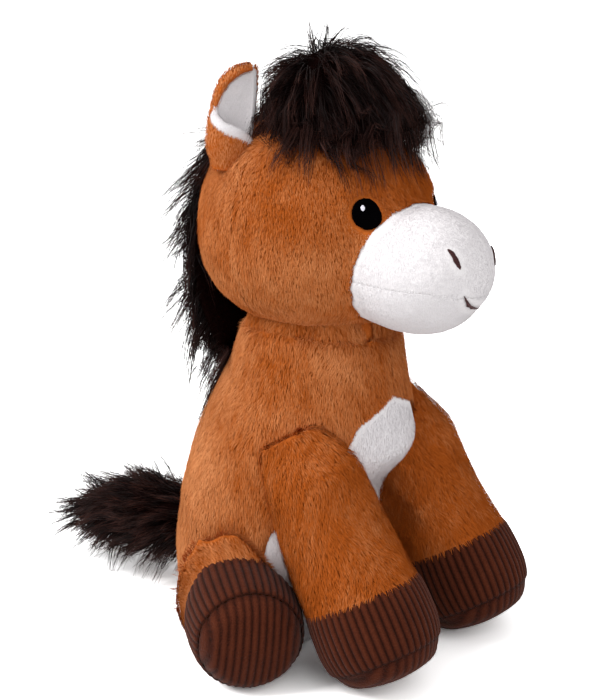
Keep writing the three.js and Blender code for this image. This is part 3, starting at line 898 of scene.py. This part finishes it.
def make_neck():
    """The stuffed neck: it carries the torso's outline on, up into the head."""
    upper = points_of(torso)
    x, y, _ = upper[upper[:, 2] > NECK_LOW].mean(0)
    line = [Vector((x, y - 20 * MM, level)) for level in np.arange(NECK_LOW, NECK_HIGH, 3 * MM)]
    bm = spun(line, Vector((x, y, 0)), Vector((0, 0, 1)), NECK_STEPS)
    for number, vert in enumerate(bm.verts):
        if number % len(line) == 0:
            radius, slope = 0, 0
        axis = Vector((x, y, vert.co.z))
        outward = (vert.co - axis).normalized()
        far = torso_tree.ray_cast(axis + outward * LEG_REACH * 1.5, -outward, LEG_REACH)[3]
        found = 0 if far is None else LEG_REACH * 1.5 - far
        if radius and found < radius - 4 * MM:
            radius += slope
            shown_at = radius
        else:
            slope = min(max(found - radius, -1.2 * MM), 0) if radius else 0
            radius = found
            shown_at = radius - 2 * MM
        vert.co = axis + outward * shown_at
    bmesh.ops.recalc_face_normals(bm, faces=bm.faces)
    neck = refined(smoothed(from_bmesh("neck_skin", bm), 3))
    padded(neck, brown_backing, "neck_stuffing")
    proud = -depth_in(torso_tree, points_of(neck)) + 0.3 * MM
    # Painted shade: the neck's pile is darker, under the head
    fur = pile("neck_pile", neck, NECK_PILE, 31, inside=proud, border=0.1 * MM, tone=NECK_SHADE_TONE)
    piece(fur, brown_pile)
    bend("neck", "head_nod", Vector((0, 0, NECK_BLEND)), neck, fur)
    return tree_of(neck)


def rows(obj, along, pitch):
    """Marks rows of thread across a direction."""
    place = points_of(obj) @ np.array(along)
    keep_rib(obj, 0.5 + 0.5 * np.sin(place * math.tau / pitch))


def make_stitches():
    """Eyes, highlights, nostrils and smile in satin stitch, sewn down on the head's skin."""
    for node in (*EMBROIDERY, "eye_glint_right", "eye_glint_left"):
        thread = remeshed(f"{node}_thread", (node,), 0.6 * MM, 3, 0)
        points = points_of(thread)
        material, height, scale, thin = STITCHES[node.removesuffix("_right").removesuffix("_left")]
        points = points.mean(0) + scale * (points - points.mean(0)) - thin * normals_of(thread)
        if "glint" in node:
            points += GLINT_SHIFT * np.sign(points.mean(0) * (1, 0, 0) + (0, 1, 0))
        over = -depth_in(head_tree, points)
        near = (over[np.linalg.norm(points - point, axis=1) < STITCH_REACH] for point in points)
        drop = np.array([np.median(heights) for heights in near]) - height
        move_points(thread, points - faced(head_tree, points) * drop[:, None])
        rows(refined(thread), THREAD_SLANT, THREAD_PITCH)
        riding("head", thread, material, node)


# Legs and hooves
def cut_of(node):
    """The middle and the facing of a node's largest flat cut, apart from one on the floor."""
    cuts = {}
    for face in frame["nodes"][node].data.polygons:
        if abs(face.normal.z) < 0.99:
            cuts.setdefault(tuple(round(share, 2) for share in face.normal), []).append(face)
    faces = max(cuts.values(), key=lambda cut: sum(face.area for face in cut))
    area = sum(face.area for face in faces)
    middle = sum((face.center * face.area for face in faces), Vector()) / area
    return middle, faces[0].normal.copy()


def furrow(distance, depth=0.35):
    """The share of a cloth's lift, or of its paleness, that is left at a distance from a seam; the
    paleness lost is painted shade in the seam's furrow.
    """
    return 1 - depth * np.exp(-(distance / SEAM_WIDTH) ** 2)


class Leg:
    """A stuffed leg: a furry sleeve, a ribbed band round the hoof and a ribbed sole."""

    def __init__(self, end, side, seed):
        self.end, self.side, self.seed = end, side, seed
        self.body = f"{end}_leg_{side}"
        self.sleeve, self.band, self.sole, self.stuffing = (
            f"{end}_{part}_{side}" for part in ("sleeve", "hoof_band", "sole", "stuffing")
        )
        self.toe, facing = cut_of(self.sole)
        self.way = -facing
        self.toe -= self.way * SOLE_SHIFT
        along = [(vert.co - self.toe).dot(self.way) for vert in frame["nodes"][self.band].data.vertices]
        self.band_length = -min(along) - (FRONT_CUFF_DROP if end == "front" else 0)
        self.cuff = self.toe - self.way * self.band_length
        self.inner = Vector((-math.copysign(1, self.cuff.x), -1, 1)).normalized()
        self.skin = skin(f"{self.body}_skin", (self.sleeve, self.band, self.sole, self.stuffing))
        self.tuck_in()
        self.tree = tree_of(self.skin)
        self.across = self.way.cross(Vector((1, 0, 0))).normalized()
        self.aside = self.across.cross(self.way)

    def tuck_in(self):
        """Carries the leg's open end on into the torso, and slopes its upper end down to the torso."""
        points = points_of(self.skin)
        past = self.past_cuff(points)
        inward = -faced(torso_tree, points)
        facing = np.clip(1.6 * (normals_of(self.skin) * inward).sum(1), 0, 1)
        near = eased(2 - distance_to(torso_tree, points, 0.06) / (15 * MM))
        slope = 1 - eased((past - past.min()) / SHOULDER_SLOPE)
        height = np.maximum(-depth_in(torso_tree, points, 0.03), 0)
        sloped = SLOPE_SHARE[self.end] * slope * height * (height < 0.029)
        free = eased((-past - THIGH_FREE) / (14 * MM)) if self.end == "hind" else 1
        shift = np.maximum(LEG_TUCK * facing * near * free, sloped)
        points = points + inward * shift[:, None] + self.fullness(points, past)
        points[:, 2] = np.maximum(points[:, 2], FLOOR_CLEARANCE)
        move_points(self.skin, points)
        smoothed(self.skin, 6)

    def fullness(self, points, past):
        """How the stuffing rounds a thigh out all round, and a foreleg at its back and inner side."""
        if self.end == "hind":
            arm = points - np.array(self.cuff)
            radial = unit(arm - past[:, None] * np.array(self.way))
            swell = eased(-past / (9 * MM)) * (1 - eased((-past - THIGH_LENGTH) / (14 * MM)))
            rise = -DOWN * THIGH_RISE * np.clip(radial[:, 2:], 0, 1)
            return swell[:, None] * (radial * THIGH_BULGE + rise)
        ways = [(0, 1, 0)] if self.side == "right" else [(0, 1, 0), (-1, 0, 0)]
        swell = np.sin(math.pi * np.clip(-past / FORELEG_LENGTH, 0, 1))
        normals = normals_of(self.skin)
        return sum(np.outer(FORELEG_BULGE * swell * np.clip(normals @ way, 0, 1), way) for way in ways)

    def tilt(self, outward):
        """How much further down the leg the hoof's cuff lies: on a hind leg's upper inner side."""
        return HIND_CUFF_TILT * np.clip(outward @ self.inner, 0, 1) if self.end == "hind" else 0

    def past_cuff(self, points):
        arm = points - np.array(self.cuff)
        past = arm @ np.array(self.way)
        return past - self.tilt(unit(arm - past[:, None] * np.array(self.way)))

    def blended(self, obj):
        joint = f"{'front_lift' if self.end == 'front' else 'hind_swing'}_{self.side}"
        bend(self.body, joint, self.way * LEG_BLEND, obj)

    def make_sleeve(self):
        padded(self.skin, brown_backing, self.sleeve, self.stuffing)
        self.blended(self.skin)
        points = points_of(self.skin)
        crease = eased(distance_to(torso_tree, points, 0.02) / CREASE_WIDTH)
        # Painted shade: the front legs' pile is darker, the hind legs' paler
        fur = pile(f"{self.body}_pile", self.skin, LEG_PILE, self.seed, np.array(self.way),
                   inside=0.6 * MM - self.past_cuff(points), border=5 * MM, crease=crease,
                   tone=LEG_SHADE_TONE[self.end])
        self.blended(piece(fur, brown_pile))

    def clear_hoof(self):
        """Draws the stuffed form in under the corduroy."""
        points = points_of(self.skin)
        drawn = HOOF_SHRINK * eased(self.past_cuff(points) / (3 * MM))
        move_points(self.skin, points - normals_of(self.skin) * drawn[:, None])

    def radius(self, along, outward):
        """How far the skin lies from the leg's axis, some way from the toe's seam."""
        start = self.toe + self.way * along + outward * LEG_REACH
        far = self.tree.ray_cast(start, -outward, LEG_REACH)[3]
        return 0 if far is None else LEG_REACH - far

    def make_band(self):
        span = self.band_length + CUFF_TUCK
        ribs = round(math.tau * self.radius(-self.band_length / 2, self.aside) / RIB_PITCH)
        edge = self.toe + self.aside * 20 * MM
        places = [span * (i / BAND_ROWS) ** 1.6 for i in range(BAND_ROWS + 1)]
        bm = spun([edge - self.way * along for along in places], self.toe, self.way, ribs * RIB_SAMPLES)
        heights = []
        for vert in bm.verts:
            along = (vert.co - self.toe).dot(self.way)
            outward = (vert.co - self.toe - self.way * along).normalized()
            turn = math.atan2(outward.dot(self.across), outward.dot(self.aside))
            rib = abs(math.sin(turn * ribs / 2)) ** 0.8
            length = span - self.tilt(np.array(outward))
            along *= length / span
            lift = CORD_LIFT * furrow(-along) * furrow(along + length) + RIB_HEIGHT * rib
            vert.co = self.toe + self.way * along + outward * (self.radius(along, outward) + lift)
            # Painted shade: darker in the rib valleys and at the toe's seam
            heights.append(rib * furrow(along, 0.8))
        self.finish_cloth(bm, f"{self.body}_hoof", self.band, heights)

    def make_sole(self):
        rim = 25 * MM
        line = [self.toe + self.aside * rim * i / SOLE_RINGS for i in range(SOLE_RINGS + 1)]
        bm = spun(line, self.toe, self.way, SOLE_STEPS)
        bmesh.ops.remove_doubles(bm, verts=bm.verts, dist=1e-7)
        heights = []
        for vert in bm.verts:
            arm = vert.co - self.toe
            share = arm.length / rim
            outward = arm.normalized() if share > 1e-4 else self.aside
            edge = self.radius(0, outward)
            flat = self.toe + outward * edge * share
            start = flat - outward * edge * 0.02 * share + self.way * 40 * MM
            hit = self.tree.ray_cast(start, -self.way)[0] or flat
            rib = abs(math.sin(flat.dot(self.aside) * math.pi / RIB_PITCH)) ** 0.8
            rim_share = eased((share - 0.8) / 0.2)
            lift = (CORD_LIFT + RIB_HEIGHT * rib) * furrow(edge * (1 - share))
            bulge = (hit - self.toe).dot(self.way) * (1 - rim_share ** 3)
            bulge += SOLE_CROWN * (1 - share ** 2)
            vert.co = flat + self.way * (bulge + lift * (1 - rim_share)) + outward * lift * rim_share
            # Painted shade: darker in the rib valleys and at the rim's seam
            heights.append(rib * furrow(edge * (1 - share), 0.8))
        self.finish_cloth(bm, f"{self.body}_sole", self.sole, heights)

    def finish_cloth(self, bm, name, node, heights):
        bm.verts.index_update()
        for vert in bm.verts:
            vert.co.z = max(vert.co.z, FLOOR_CLEARANCE)
        bmesh.ops.recalc_face_normals(bm, faces=bm.faces)
        cloth = from_bmesh(name, bm)
        keep_rib(cloth, heights)
        cloth.data.shade_smooth()
        riding(self.body, cloth, corduroy, node)


def make_leg(end, side, seed):
    leg = Leg(end, side, seed)
    leg.make_sleeve()
    leg.make_band()
    leg.make_sole()
    leg.clear_hoof()
    return leg


# Ears: a leaf of two cloths, cupped at the tip and wrapped round into a pouch at the root
class Ear:
    """An ear's own directions, and the place of a point across and up its leaf."""

    def __init__(self, side):
        self.side = side
        self.body = f"ear_{side}"
        back, lining = (frame["nodes"][f"ear_{cloth}_{side}"] for cloth in ("back", "lining"))
        self.root = hinge_of(f"ear_fold_{side}")
        tip = max((vert.co for vert in back.data.vertices), key=lambda point: (point - self.root).length)
        self.up = (tip - self.root).normalized()
        self.length = (tip - self.root).length
        facing = Vector(points_of(lining).mean(0)) - Vector(points_of(back).mean(0))
        self.front = (facing - self.up * facing.dot(self.up)).normalized()
        self.outer = self.up.cross(self.front)
        if self.outer.x * self.root.x < 0:
            self.outer = -self.outer

    def half_width(self, height):
        if height < 0.5:
            return EAR_HALF_WIDTH * (0.58 + 0.42 * eased(height / 0.3))
        return EAR_HALF_WIDTH * max(0.03, (1 - ((height - 0.5) / 0.5) ** 2.6) ** 0.5)

    def place(self, turn, height):
        """The place at a turn from the middle of the back, at a share of the leaf's height."""
        wide = self.half_width(height)
        deep = EAR_CUP * (0.6 + 0.4 * eased(height / 0.2) - 0.55 * eased((height - 0.25) / 0.75))
        centre = 0.75 * (EAR_HALF_WIDTH - wide) * eased((height - 0.45) / 0.2) + EAR_SET_IN
        aside = wide * math.sin(turn) - centre
        ahead = EAR_SET_BACK + deep * math.cos(turn)
        rise = self.up * (height * (EAR_SHARE * self.length + EAR_ROOT) - EAR_ROOT)
        return self.root + rise + self.outer * aside - self.front * ahead

    def outer_edge(self, height):
        """The turn where the leaf ends: past the front at the root, and at the side further up."""
        return math.radians(np.interp(height, EAR_EDGE_HEIGHTS, EAR_EDGE_TURNS))

    def cloth(self, name, inner, drawn_in, top, thickness):
        """One cloth of the leaf, whose outer edge is drawn in by a turn that depends on the height."""
        bm = bmesh.new()
        bmesh.ops.create_grid(bm, x_segments=28, y_segments=30, size=1)
        first = math.radians(inner)
        for vert in bm.verts:
            height = top * (vert.co.y + 1) / 2
            last = self.outer_edge(height) - math.radians(drawn_in(height))
            vert.co = self.place(first + (last - first) * (vert.co.x + 1) / 2, height)
        bmesh.ops.recalc_face_normals(bm, faces=bm.faces)
        middle = min(bm.faces, key=lambda face: (face.calc_center_median() - self.place(0, 0.6)).length)
        if middle.normal.dot(self.front) * thickness < 0:
            bmesh.ops.reverse_faces(bm, faces=bm.faces)
        leaf = modified(from_bmesh(name, bm), "SOLIDIFY", thickness=abs(thickness), offset=1)
        return refined(leaf)

    def roll(self, name, heights, radii, lean):
        """The leaf's edge, turned over into a soft roll between some heights."""
        curve = bpy.data.curves.new(name, "CURVE")
        curve.dimensions = "3D"
        curve.bevel_depth = 1
        curve.bevel_resolution = 3
        spline = curve.splines.new("POLY")
        spline.points.add(len(heights) - 1)
        for point, height, radius in zip(spline.points, heights, radii):
            edge = self.place(self.outer_edge(height), height)
            inwards = (self.place(0, 0.62) + self.front * EAR_CUP - edge).normalized()
            point.co = (*(edge + inwards * lean * radius), 1)
            point.radius = radius
        line = shown(name, curve)
        graph = bpy.context.evaluated_depsgraph_get()
        tube = bpy.data.meshes.new_from_object(line.evaluated_get(graph))
        bpy.data.objects.remove(line)
        return refined(shown(name, tube))

    def make(self, seed):
        def rim(height):
            return EAR_RIM * eased((height - 0.48) / 0.3)

        back = self.cloth(f"{self.body}_back", -78, lambda height: 0, 1, -1.6 * MM)
        lining = self.cloth(f"{self.body}_lining", -90, rim, 0.985, 1.5 * MM)
        share = np.linspace(0, 1, 24)
        brown_size = EAR_BROWN_ROLL * (0.4 + 0.6 * eased(share / 0.85))
        brown_size = brown_size * (1 - 0.5 * eased((share - 0.9) / 0.1))
        white_size = EAR_WHITE_ROLL * (0.25 + 0.75 * np.sin(math.pi * (1 - share) ** 1.5) ** 0.7)
        brown_roll = self.roll(f"{self.body}_back_roll", 0.5 + 0.5 * share, brown_size, 0.8)
        white_roll = self.roll(f"{self.body}_lining_roll", 0.19 + 0.4 * share, white_size, 0.7)
        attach(padded(back, brown_backing, f"ear_back_{self.side}"), self.body)
        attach(padded(lining, white_backing, f"ear_lining_{self.side}"), self.body)
        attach(padded(brown_roll, brown_backing), self.body)
        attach(padded(white_roll, white_backing), self.body)
        bare = distance_to(tree_of(lining), points_of(back), 0.02) - 0.7 * MM
        furs = (
            ("back_pile", back, brown_pile, 2.2 * MM, bare, 1),
            ("back_roll_pile", brown_roll, brown_pile, 2 * MM, None, 1),
            ("lining_pile", lining, white_pile, 1.1 * MM, None, 0.25),
            ("lining_roll_pile", white_roll, white_pile, 1.1 * MM, None, 0.25),
        )
        for number, (name, cloth, finish, length, inside, grain) in enumerate(furs):
            fur = pile(f"{self.body}_{name}", cloth, length, seed + number, np.array(self.up),
                       inside=inside, border=0.1 * MM, grain=grain)
            riding(self.body, fur, finish)


# Long hair
def hair(name, core, heading, length, droop, seed, locks, keep=None, blocks=()):
    """Long hair in pointed locks that grow from a core and fall under their weight."""
    rng = np.random.default_rng(seed)
    places = Scatter(core, 1e6, rng)
    if keep is not None:
        places.keep(keep(places.points(), places.normals()))
    places.keep(rng.choice(len(places.corners), locks, replace=False))
    roots, normals = places.points(), places.normals()
    sway = np.stack([ripple(roots, 14 * MM, rng) for _ in range(3)], 1)
    wisps = 0.75 * normals * (rng.random((locks, 1)) < HAIR_WISPS)
    way = unit(heading(roots, normals)) + wisps
    way = unit(way + HAIR_SWAY * sway + HAIR_STRAY * rng.normal(size=(locks, 3)))
    bend = HAIR_WAVE * rng.normal(size=(locks, 3)) + droop(roots)
    reach = length(roots) if callable(length) else length
    step = (reach * rng.uniform(0.5, 1.2, locks) / HAIR_STEPS)[:, None]
    guide = [roots - normals * 1.5 * MM]
    for _ in range(HAIR_STEPS):
        way = unit(way + bend / HAIR_STEPS)
        guide.append(guide[-1] + way * step)
    guide = np.stack(guide, 1)
    for tree in blocks:
        points = guide[:, 1:].reshape(-1, 3)
        deep = np.maximum(depth_in(tree, points) + 2 * MM, 0)
        deep[deep > 0.015] = 0
        out = faced(tree, points)
        guide[:, 1:] = (points + out * deep[:, None]).reshape(locks, HAIR_STEPS, 3)
    for ear in ears:
        arm = guide - np.array(ear.root)
        aside, ahead, rise = (arm @ np.array(way) for way in (ear.outer, ear.front, ear.up))
        over = (np.abs(ahead - EAR_ROOM) < 2 * EAR_ROOM) & (rise > 0) & (aside < EAR_HALF_WIDTH)
        guide -= np.maximum(aside + EAR_INNER, 0)[:, :, None] * over[:, :, None] * np.array(ear.outer)
    owner = np.repeat(np.arange(locks), LOCK_STRANDS)
    count = len(owner)
    place = np.linspace(0, HAIR_STEPS, HAIR_STEPS + 1)[None] * rng.uniform(0.5, 1, (count, 1))
    before = np.minimum(place.astype(int), HAIR_STEPS - 1)
    share = (place - before)[:, :, None]
    lines = guide[owner[:, None], before] * (1 - share) + guide[owner[:, None], before + 1] * share
    spread = rng.normal(size=(count, 1, 3)) * HAIR_SPREAD
    lines = lines + spread * np.linspace(1, HAIR_GATHER, HAIR_STEPS + 1)[None, :, None]
    flick = rng.normal(size=(count, 1, 3)) * HAIR_FLICK
    lines = lines + flick * (np.linspace(0, 1, HAIR_STEPS + 1) ** 2)[None, :, None]
    across = unit(np.cross(lines[:, -1] - lines[:, 0], rng.normal(size=(count, 3))))
    tones = np.clip(0.35 + 0.2 * rng.normal(size=locks)[owner] + 0.2 * rng.normal(size=count), 0, 1)
    return ribbons(name, lines, across[:, None] * HAIR_WIDTH / 2, tones)


def hair_core(node, depth):
    """The dark cloth that long hair grows from."""
    core = remeshed(f"{node}_core", (node,), 2.5 * MM, 6, depth)
    return smoothed(core, 4)


def make_forelock():
    """Locks that part at a crown, arch out to all sides and fall over the brow, shorter at the front."""
    core = hair_core("forelock", 9 * MM)
    low, high = (np.array(corner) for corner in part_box("forelock"))
    crown = (low + high) / 2 + CROWN_SHIFT

    def outward(points):
        return (points - crown) * (1, 1, 0) / CROWN_REACH

    points = points_of(core)
    ahead = np.clip(outward(points) @ FRINGE_WAY, 0, 1)
    points[:, 2] += FRINGE_LIFT * ahead * eased((240 * MM - points[:, 2]) / (25 * MM))
    points[:, 2] -= FRINGE_SLOPE * ahead * eased((points[:, 2] - 235 * MM) / (20 * MM))
    points -= np.outer(FRINGE_SLOPE * ahead, FRINGE_WAY)
    move_points(core, points)
    riding("head", core, dark_backing, "forelock")

    def heading(points, normals):
        out = outward(points)
        combed = out - normals * (out * normals).sum(1, keepdims=True)
        return combed + normals * 0.42

    def droop(points):
        return DOWN * (1.5 + 0.8 * np.linalg.norm(outward(points), axis=1, keepdims=True))

    def length(points):
        crest = eased((points[:, 2] - 225 * MM) / (35 * MM))
        far = np.linalg.norm(outward(points), axis=1)
        return (FORELOCK_HAIR + CREST_HAIR * crest) * (0.55 + 0.45 * np.clip(far / 0.5, 0, 1))

    tuft = hair("forelock_hair", core, heading, length, droop, 61, FORELOCK_LOCKS,
                keep=lambda points, normals: normals[:, 2] > -0.2, blocks=(tree_of(core), head_tree))
    riding("head", tuft, dark_hair)


def make_mane(neck_tree):
    """A mane that stands out at the crown and lies against the neck at the nape."""
    core = hair_core("mane", 4 * MM)
    points = points_of(core)
    points[:, 1] -= MANE_CLOSE + MANE_TUCK * eased((MANE_NAPE - points[:, 2]) / (40 * MM))
    move_points(core, points)
    riding("head", core, dark_backing, "mane")

    def rise(points):
        return eased((points[:, 2] - MANE_NAPE) / (MANE_CROWN - MANE_NAPE))[:, None]

    def heading(points, normals):
        return normals * (0.3 + 0.45 * rise(points)) + DOWN * (1 - 0.15 * rise(points))

    def droop(points):
        return DOWN * 0.4 + np.array((0, -0.5, 0)) * (1 - rise(points))

    fall = hair("mane_hair", core, heading, MANE_HAIR, droop, 62, MANE_LOCKS,
                keep=lambda points, normals: normals[:, 1] > -0.5,
                blocks=(tree_of(core), head_tree, torso_tree, neck_tree))
    riding("head", fall, dark_hair)


def make_tail():
    core = hair_core("tail", 9 * MM)
    points = points_of(core)
    points[:, 1] -= TAIL_TUCK * eased(1 - (points[:, 1] - points[:, 1].min()) / (25 * MM))
    move_points(core, points)
    piece(core, dark_backing, "tail")
    back = unit(np.array((0, 1, -0.3)))
    tuft = hair("tail_hair", core, lambda points, normals: normals * 0.4 + back, TAIL_HAIR,
                lambda points: 0.3 * DOWN, 63, TAIL_LOCKS)
    bend("tail", "tail_lift", Vector(back) * TAIL_BLEND, core, piece(tuft, dark_hair))


limbs = [(end, side) for end in ("front", "hind") for side in SIDES]
legs = [make_leg(end, side, 41 + number) for number, (end, side) in enumerate(limbs)]
make_torso(legs)
make_head()
neck_tree = make_neck()
make_stitches()
ears = [Ear(side) for side in SIDES]
for number, ear in enumerate(ears):
    ear.make(50 + 4 * number)
make_forelock()
make_mane(neck_tree)
make_tail()


# The stage: a white floor, soft light from the left, and the camera
def studio():
    bm = bmesh.new()
    bmesh.ops.create_grid(bm, x_segments=1, y_segments=1, size=6)
    floor = from_bmesh("floor", bm)
    paint = Finish("floor", Roughness=1, Specular_IOR_Level=0)
    paint.set(Base_Color=paint.mix(paint.seen(), (0.7, 0.7, 0.7, 1), (2.2, 2.2, 2.2, 1)))
    floor.data.materials.append(paint.material)
    world = bpy.data.worlds.new("studio")
    bpy.context.scene.world = world
    world.use_nodes = True
    sky = Nodes(world.node_tree)
    backdrop = world.node_tree.nodes["Background"]
    backdrop.inputs["Color"].default_value = (1, 1, 1, 1)
    sky.link(backdrop.inputs["Strength"], sky.seen() * (1 - AMBIENT) + AMBIENT)


def lamp(name, place, size, power):
    light = bpy.data.lights.new(name, "AREA")
    light.size = size
    light.energy = power
    obj = shown(name, light)
    obj.location = place
    obj.rotation_euler = (CAMERA_AIM - Vector(place)).to_track_quat("-Z", "Y").to_euler()


def camera():
    azimuth, elevation = math.radians(CAMERA_AZIMUTH), math.radians(CAMERA_ELEVATION)
    level = Vector((math.sin(azimuth), -math.cos(azimuth), 0))
    back = level * math.cos(elevation) + Vector((0, 0, math.sin(elevation)))
    data = bpy.data.cameras.new("camera")
    data.sensor_width = SENSOR
    data.lens = FOCAL_PIXELS / PHOTO_HEIGHT * SENSOR
    obj = shown("camera", data)
    obj.location = CAMERA_AIM + back * CAMERA_DISTANCE
    obj.rotation_euler = back.to_track_quat("Z", "Y").to_euler()
    bpy.context.scene.camera = obj


studio()
lamp("key", *KEY_LAMP)
lamp("fill", *FILL_LAMP)
camera()
bpy.context.scene.view_settings.view_transform = "Standard"
